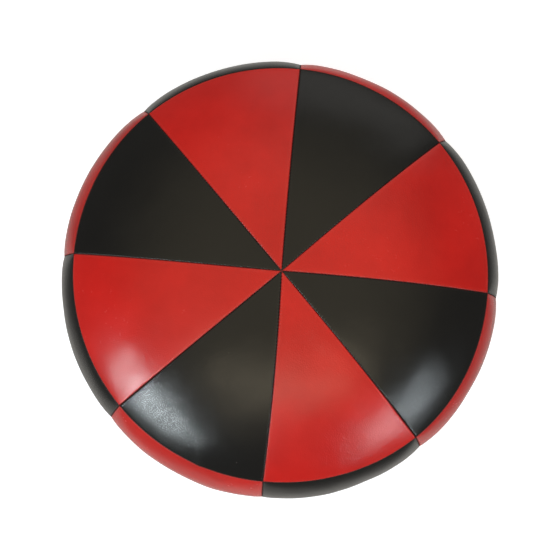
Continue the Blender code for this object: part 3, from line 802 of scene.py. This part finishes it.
def make_base_half(name, side, node, finish):
    """A half disc of black leather, folded up beside the zip and sewn to the side panels."""
    spacing = np.sin(np.linspace(-math.pi / 2, math.pi / 2, BASE_ROWS))
    outer, side_gap, end_gap = base_points(TIP_TURN * spacing, 0.0)
    inner = base_points(UNDER_TURN * spacing, LEATHER)[0]
    angle = np.repeat((TIP_TURN * spacing)[:, None], outer.shape[1], axis=1)
    past_flat = (np.abs(outer[..., 1]) - FLAT_RADIUS) / END_TURN_WIDTH
    at_seam = np.maximum(smooth(1 - end_gap / SEAM_TURN_WIDTH), smooth(past_flat))
    up = inward(angle, at_seam)
    turned = np.hypot(roll(side_gap, ROLL), roll(end_gap, ROLL))[..., None]
    depth = (HEM + (ALLOWANCE - HEM) * at_seam)[..., None]
    outer_hem = outer + up * depth
    inner_hem = inner + up * (depth - LEATHER)
    fade = smooth(np.minimum(side_gap, end_gap) / EVEN_WIDTH)
    uneven = lumps(outer, *BASE_LUMPS)[..., None] * fade[..., None]
    outer = outer + up * (turned + np.abs(uneven) * smooth((outer[..., 2:3] - FLOOR_CLEAR) / FLOOR_FADE))
    for grid in (outer, inner, outer_hem, inner_hem):
        grid[..., 0] *= side
    values = {
        "side_gap": side_gap, "end_gap": end_gap,
        "side_turn": np.where(np.abs(outer[..., 1]) > SLOT_END, outer[..., 1] / PITCH, 0.25),
        "end_turn": (angle / (2 * math.pi)) * BASE_STITCHES,
    }
    piece = hemmed_sheet(name, outer, inner, outer_hem, inner_hem, values, finish)
    stand_for(piece, node)


# ---------------------------------------------------------------- stitches

def stitch_shape():
    """One stitch lying along X: a short thread whose ends dip into the leather. Returns points and faces."""
    sides = 8
    along = np.array([-0.5, -0.47, -0.38, -0.2, 0.0, 0.2, 0.38, 0.47, 0.5])
    thick = np.array([0.30, 0.75, 1.0, 1.0, 1.0, 1.0, 1.0, 0.75, 0.30])
    points = []
    for place, size in zip(along, thick):
        for k in range(sides):
            turn = 2 * math.pi * k / sides
            dip = -1.3 * STITCH_RADIUS * (2 * place) ** 2
            points.append((place * STITCH_LENGTH, size * STITCH_RADIUS * math.cos(turn),
                           size * STITCH_RADIUS * math.sin(turn) + dip))
    faces = [tuple(reversed(range(sides)))]
    for ring in range(len(along) - 1):
        for k in range(sides):
            n = (k + 1) % sides
            faces.append((ring * sides + k, ring * sides + n, (ring + 1) * sides + n, (ring + 1) * sides + k))
    faces.append(tuple((len(along) - 1) * sides + k for k in range(sides)))
    return np.array(points), faces


def frames_along(line, up, count):
    """Places and directions of count stitches, spaced evenly along a line of points."""
    steps = np.linalg.norm(np.diff(line, axis=0), axis=1)
    length = np.concatenate([[0.0], np.cumsum(steps)])
    middle = (np.arange(count) + 0.5) * length[-1] / count

    def at(values, where):
        return np.stack([np.interp(where, length, values[:, k]) for k in range(3)], axis=-1)

    place = at(line, middle)
    forward = at(line, middle + 0.0002) - at(line, middle - 0.0002)
    forward /= np.linalg.norm(forward, axis=1, keepdims=True)
    normal = at(up, middle)
    lateral = np.cross(normal, forward)
    lateral /= np.linalg.norm(lateral, axis=1, keepdims=True)
    return place, forward, lateral, np.cross(forward, lateral)


def sew(name, rows, slant, node, finish):
    """A row or rows of separate stitches as one piece: each row is (line of points, up directions, count)."""
    shape, shape_faces = stitch_shape()
    points, faces, start = [], [], 0
    for line, up, count in rows:
        for place, forward, lateral, normal in zip(*frames_along(line, up, count)):
            along = forward * math.cos(slant) + lateral * math.sin(slant)
            beside = lateral * math.cos(slant) - forward * math.sin(slant)
            points.append(place + shape @ np.stack([along, beside, normal]))
            faces += [tuple(start + k for k in face) for face in shape_faces]
            start += len(shape)
    stand_for(add_piece(name, np.concatenate(points), faces, finish), node)


def seam_row(index, share, p, count):
    """A row of stitches in the valley of a seam."""
    line = skin(index, share, p, -STITCH_DEPTH)
    return line, skin(index, share, p) - line, count


def ring_row(p, count):
    """A row of stitches right round the pouf, at the rim or the base seam."""
    share = np.linspace(0.0, 1.0, 41)[:-1]
    lines = [seam_row(index, share, p, 0) for index in range(PANELS)]
    line = np.concatenate([part[0] for part in lines])
    up = np.concatenate([part[1] for part in lines])
    return np.append(line, line[:1], axis=0), np.append(up, up[:1], axis=0), count


def zip_end_rows():
    """The two short seams that join the halves of the base beyond the zip."""
    rows = []
    for side in (-1, 1):
        y = side * np.linspace(SLOT_END + 0.002, BASE_SEAM_RADIUS - 0.004, 40)
        z = base_rise(np.abs(y), BASE_SEAM_RADIUS, BASE_SEAM_HEIGHT) + channel(0 * y, y) + ROLL / 2
        line = np.stack([0 * y, y, z], axis=-1)
        rows.append((line, np.tile((0.0, 0.0, -1.0), (len(y), 1)), round(np.ptp(y) / PITCH)))
    return rows


def make_stitches(finish):
    top = np.linspace(0.006 / RIM_RADIUS, 1 - 0.002 / RIM_RADIUS, 120)
    side = 1 + np.linspace(0.012, 0.988, 120)
    for index in range(PANELS):
        number = index + 1
        sew(f"top_stitches_{number}", [seam_row(index, 0.0, top, TOP_STITCHES - 2)], STITCH_SLANT,
            f"top_seam_thread_{number}", finish)
        sew(f"side_stitches_{number}", [seam_row(index, 0.0, side, SIDE_STITCHES - 1)], STITCH_SLANT,
            f"side_seam_thread_{number}", finish)
    sew("rim_stitches", [ring_row(1.0, RIM_STITCHES)], STITCH_SLANT, "rim_seam_thread", finish)
    sew("base_stitches", [ring_row(2.0, BASE_STITCHES)] + zip_end_rows(), STITCH_SLANT,
        "base_seam_thread", finish)


def make_knot(finish):
    """Threads from seam to opposite seam that cross over the tips, pulled down into a small knot."""
    low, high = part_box("centre_knot")
    top = Vector(((low.x + high.x) / 2 + CENTRE[0], (low.y + high.y) / 2 + CENTRE[1], TOP_HEIGHT - 0.0004))
    points, faces = stitch_shape()
    all_points, all_faces = [], []
    for k in range(PANELS // 2):
        turn = (k + 0.5) * PANEL_ANGLE
        stretched = points * np.array([1.9, 0.75, 0.9])
        x = stretched[:, 0] * math.cos(turn) - stretched[:, 1] * math.sin(turn)
        y = stretched[:, 0] * math.sin(turn) + stretched[:, 1] * math.cos(turn)
        z = stretched[:, 2] + 0.00022 * k
        all_faces += [tuple(k * len(points) + n for n in face) for face in faces]
        all_points.append(np.stack([x, y, z], axis=-1) + np.array(top))
    piece = add_piece("crossed_threads", np.concatenate(all_points), all_faces, finish)
    shape = bmesh.new()
    shape.from_mesh(piece.data)
    ball = bmesh.ops.create_icosphere(shape, subdivisions=3, radius=0.0008)
    for vert in ball["verts"]:
        vert.co.z *= 0.7
        vert.co += vert.co.normalized() * 0.00012 * noise.noise(vert.co * 4000) + top + Vector((0, 0, 0.0007))
    shape.to_mesh(piece.data)
    shape.free()
    piece.data.shade_smooth()
    stand_for(piece, "centre_knot")


# ---------------------------------------------------------------- zip

def make_coil(name, side, node, finish):
    """Nylon coil of one half of the zip: a thread wound in a flat helix round the tape's edge."""
    low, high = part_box(node)
    centre = (low + high) / 2
    half_width = (high.x - low.x) / 2 - COIL_WIRE
    half_height = (high.z - low.z) / 2 - COIL_WIRE
    length = high.y - low.y - 2 * COIL_WIRE
    turns = round(length / COIL_PITCH)
    per_turn, sides = 12, 6
    t = np.linspace(0.0, 1.0, turns * per_turn + 1)
    angle = 2 * math.pi * turns * t
    line = np.stack([centre.x + side * half_width * np.cos(angle), low.y + COIL_WIRE + length * t,
                     centre.z + half_height * np.sin(angle)], axis=-1)
    forward = np.gradient(line, axis=0)
    forward /= np.linalg.norm(forward, axis=1, keepdims=True)
    outward = np.stack([np.cos(angle) * side, 0 * angle, np.sin(angle)], axis=-1)
    beside = np.cross(forward, outward)
    beside /= np.linalg.norm(beside, axis=1, keepdims=True)
    turn = 2 * math.pi * np.arange(sides) / sides
    section = np.cos(turn)[:, None] * outward[:, None] + np.sin(turn)[:, None] * beside[:, None]
    rings = line[:, None] + COIL_WIRE * section
    faces = [tuple(range(sides)), tuple((len(t) - 1) * sides + k for k in reversed(range(sides)))]
    for ring in range(len(t) - 1):
        for k in range(sides):
            n = (k + 1) % sides
            faces.append((ring * sides + k, (ring + 1) * sides + k, (ring + 1) * sides + n, ring * sides + n))
    stand_for(add_piece(name, rings.reshape(-1, 3), faces, finish, turn_out=True), node)


def dress_node(node, finish, edge=0.0):
    """A CAD piece whose shape stays: a better material, and small rounded edges where asked."""
    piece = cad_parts[node]
    piece.data.materials.clear()
    piece.data.materials.append(finish)
    if edge:
        bevel = piece.modifiers.new("edges", "BEVEL")
        bevel.width = edge
        bevel.segments = 2
        bevel.limit_method = "ANGLE"


def make_zip(thread):
    cloth = woven_material("zip_tape_cloth", (0.022, 0.022, 0.023, 1.0), 1400.0, 0.00012)
    nylon = nylon_material()
    metal = metal_material()
    for side, word in ((1, "right"), (-1, "left")):
        dress_node(f"zip_tape_{word}", cloth)
        dress_node(f"zip_top_stop_{word}", metal, METAL_EDGE)
        make_coil(f"coil_{word}", side, f"zip_coil_{word}", nylon)
        low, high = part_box(f"zip_stitching_{word}")
        y = np.linspace(low.y, high.y, 60)
        x = 0 * y + (low.x + high.x) / 2
        z = base_rise(np.hypot(x, y), BASE_SEAM_RADIUS, BASE_SEAM_HEIGHT) + channel(x, y) - STITCH_RADIUS / 2
        row = (np.stack([x, y, z], axis=-1), np.tile((0.0, 0.0, -1.0), (len(y), 1)), round(np.ptp(y) / PITCH))
        sew(f"zip_stitches_{word}", [row], 0.0, f"zip_stitching_{word}", thread)
    for node in ("zip_bottom_stop", "zip_slider", "zip_pull_tab"):
        dress_node(node, metal, METAL_EDGE)


# ---------------------------------------------------------------- inside

def revolve(name, outline, wrinkle, finish):
    """A closed solid turned about Z from an outline of (radius, height), with its surface crumpled."""
    turns = 2 * math.pi * np.arange(INSIDE_SEGMENTS) / INSIDE_SEGMENTS
    points, rings, faces = [], [], []
    for radius, height in outline:
        if radius < 1e-6:
            rings.append([len(points)] * INSIDE_SEGMENTS)
            points.append((0.0, 0.0, height))
        else:
            rings.append(list(range(len(points), len(points) + INSIDE_SEGMENTS)))
            points += [(radius * math.cos(turn), radius * math.sin(turn), height) for turn in turns]
    for this, after in zip(rings, rings[1:] + rings[:1]):
        for k in range(INSIDE_SEGMENTS):
            n = (k + 1) % INSIDE_SEGMENTS
            face = list(dict.fromkeys((this[k], this[n], after[n], after[k])))
            if len(face) > 2:
                faces.append(face)
    points = np.array(points)
    middle = np.array([0.0, 0.0, WIDEST_HEIGHT])
    outward = points - middle
    outward /= np.linalg.norm(outward, axis=1, keepdims=True)
    crumple = [noise.fractal(Vector(spot) * 9.0, 0.8, 2.1, 4) for spot in outward]
    points = points - outward * (wrinkle * np.clip(0.5 + np.array(crumple), 0.0, 1.0))[:, None]
    return add_piece(name, points, faces, finish, turn_out=True)


def inside_line(depth, floor):
    """The top, wall and bottom of the inside at a depth below the skin, as lines of (radius, height)."""
    def below(p):
        radius, height = profile(p)
        across, down = tangent(p)
        return np.stack([radius + down * depth, height - across * depth], axis=-1)

    top = below(np.linspace(0.0, BAG_TOP_END, 24))
    top[0, 0] = 0.0
    wall = below(np.linspace(1.0, BAG_WALL_END, 26))
    radius = np.linspace(BAG_BOTTOM_RADIUS, 0.0, 16)
    bottom = np.stack([radius, base_rise(radius, BASE_SEAM_RADIUS, BASE_SEAM_HEIGHT) + floor], axis=-1)
    return top, wall, bottom


def make_inside():
    """The cloth bag in three pieces, a little crumpled, and the matted cotton inside it."""
    cloth = woven_material("calico", (0.76, 0.71, 0.60, 1.0), 900.0, 0.0002)
    outer = inside_line(BAG_DEPTH, BAG_FLOOR)
    inner = inside_line(BAG_DEPTH + BAG_CLOTH, BAG_FLOOR + BAG_CLOTH)
    for name, out, into in zip(("top", "wall", "bottom"), outer, inner):
        piece = revolve(f"bag_{name}", np.concatenate([out, into[::-1]]), BAG_CRUMPLE, cloth)
        stand_for(piece, f"inner_bag_{name}")
    outline = np.concatenate(inside_line(STUFFING_DEPTH, STUFFING_FLOOR))
    filling = revolve("cotton_filling", outline, STUFFING_CRUMPLE, fibre_material())
    stand_for(filling, "stuffing")


# ---------------------------------------------------------------- camera, light and floor

def make_camera():
    """Looks down on the pouf from a little in front, 1.6 m above its rim."""
    level = Vector((math.sin(CAMERA_AZIMUTH), -math.cos(CAMERA_AZIMUTH), 0.0))
    back = level * math.sin(CAMERA_TILT) + Vector((0.0, 0.0, math.cos(CAMERA_TILT)))
    right = Vector((math.cos(CAMERA_AZIMUTH), math.sin(CAMERA_AZIMUTH), 0.0))
    up = back.cross(right)
    rim_middle = Vector((0.0, 0.0, RIM_HEIGHT))
    aim = rim_middle + up * AIM_UP + right * AIM_RIGHT
    place = rim_middle + back * CAMERA_DISTANCE
    data = bpy.data.cameras.new("camera")
    data.lens = CAMERA_LENS
    data.clip_start = 0.05
    data.clip_end = 20.0
    camera = bpy.data.objects.new("camera", data)
    camera.location = place
    forward = (aim - place).normalized()
    camera.rotation_euler = forward.to_track_quat("-Z", "Y").to_euler()
    turned = camera.rotation_euler.to_matrix() @ Vector((1.0, 0.0, 0.0))
    spin = math.atan2(turned.cross(right).dot(-forward), turned.dot(right))
    camera.rotation_euler.rotate_axis("Z", spin)
    bpy.context.scene.collection.objects.link(camera)
    bpy.context.scene.camera = camera


def area_light(name, azimuth, elevation, distance, size, power, colour, gloss=True, diffuse=True):
    """A soft box that looks at the pouf. Azimuth is the direction it stands in, from +X towards +Y.

    Without gloss it leaves no highlight, and without diffuse it leaves nothing but highlights.
    """
    data = bpy.data.lights.new(name, "AREA")
    data.shape = "RECTANGLE"
    data.size, data.size_y = size
    data.energy = power
    data.color = colour
    light = bpy.data.objects.new(name, data)
    a, e = math.radians(azimuth), math.radians(elevation)
    place = Vector((math.cos(a) * math.cos(e), math.sin(a) * math.cos(e), math.sin(e))) * distance
    light.location = place + Vector((0.0, 0.0, 0.2))
    light.rotation_euler = (-place).to_track_quat("-Z", "Y").to_euler()
    light.visible_glossy = gloss
    light.visible_diffuse = diffuse
    bpy.context.scene.collection.objects.link(light)


def make_room():
    """A dim room with a warm pale ceiling. Below the horizon it stands in for the floor, but dimmer."""
    world = bpy.data.worlds.new("room")
    world.use_nodes = True
    tree = world.node_tree
    direction = tree.nodes.new("ShaderNodeTexCoord").outputs["Generated"]
    split = tree.nodes.new("ShaderNodeSeparateXYZ")
    tree.links.new(direction, split.inputs["Vector"])
    height = split.outputs["Z"]
    below = mix_colour(tree, remap(tree, height, -1.0, -0.68, 0.0, 1.0), NEAR_FLOOR_GLOW, FLOOR_GLOW)
    wall = mix_colour(tree, remap(tree, split.outputs["Y"], 0.0, 1.0, 0.0, 1.0), WALL_GLOW, FAR_WALL_GLOW)
    walls = mix_colour(tree, remap(tree, height, -0.06, 0.06, 0.0, 1.0), below, wall)
    room = mix_colour(tree, remap(tree, height, 0.50, 0.95, 0.0, 1.0), walls, CEILING_GLOW)
    tree.links.new(room, tree.nodes["Background"].inputs["Color"])
    bpy.context.scene.world = world


def make_floor():
    """A white floor that the leather doesn't mirror, as in a picture cut out of its surroundings."""
    reach = 6.0
    corners = [(-reach, -reach, 0), (reach, -reach, 0), (reach, reach, 0), (-reach, reach, 0)]
    mesh = bpy.data.meshes.new("floor")
    mesh.from_pydata(corners, [], [(0, 1, 2, 3)])
    made, tree, shader, place = new_material("pale_floor")
    tone = noise_node(tree, place, 3.0, 2.0)
    tree.links.new(mix_colour(tree, tone, (0.86, 0.86, 0.86, 1.0), (0.90, 0.90, 0.90, 1.0)),
                   shader.inputs["Base Color"])
    shader.inputs["Roughness"].default_value = 0.9
    shader.inputs["Emission Color"].default_value = (0.84, 0.90, 1.0, 1.0)
    shader.inputs["Emission Strength"].default_value = 0.60
    mesh.materials.append(made)
    floor = bpy.data.objects.new("floor", mesh)
    floor.location.z = -0.0005
    floor.visible_glossy = False
    bpy.context.scene.collection.objects.link(floor)


def make_studio():
    """Two cool windows low in front, seen only as gloss, two soft fills, a pale far wall and a warm lamp."""
    make_room()
    make_floor()
    area_light("left_window", 227.5, 25.8, 2.6, (1.20, 0.05), 50, (0.86, 0.96, 1.0), diffuse=False)
    area_light("right_window", 317, 24.5, 2.6, (1.35, 0.05), 24, (0.86, 0.95, 1.0), diffuse=False)
    area_light("front_fill", 250, 45, 2.6, (2.0, 2.0), 38, (0.92, 0.97, 1.0), gloss=False)
    area_light("far_fill", 80, 45, 2.6, (2.0, 2.0), 14, (1.0, 0.98, 0.94), gloss=False)
    area_light("far_wall", 78, 16, 3.0, (3.0, 1.5), 9, (1.0, 0.97, 0.92))
    area_light("ceiling_lamp", 281, 60.5, 2.4, (1.9, 0.75), 9.2, (1.0, 0.86, 0.62))
    bpy.context.scene.view_settings.view_transform = "Standard"


# ---------------------------------------------------------------- build

def main():
    red = leather("red_hide", RED, RUBBED_AND_HIGHLIGHT_RED, 0.12, 0.25)
    black = leather("black_hide", BLACK, RUBBED_AND_HIGHLIGHT_BLACK, 0.06, 0.23)
    make_camera()
    make_studio()
    thread = thread_material()
    make_leather(red, black)
    make_base_half("base_leather_right", 1, "base_panel_right", black)
    make_base_half("base_leather_left", -1, "base_panel_left", black)
    make_stitches(thread)
    make_knot(thread)
    make_zip(thread)
    make_inside()


main()
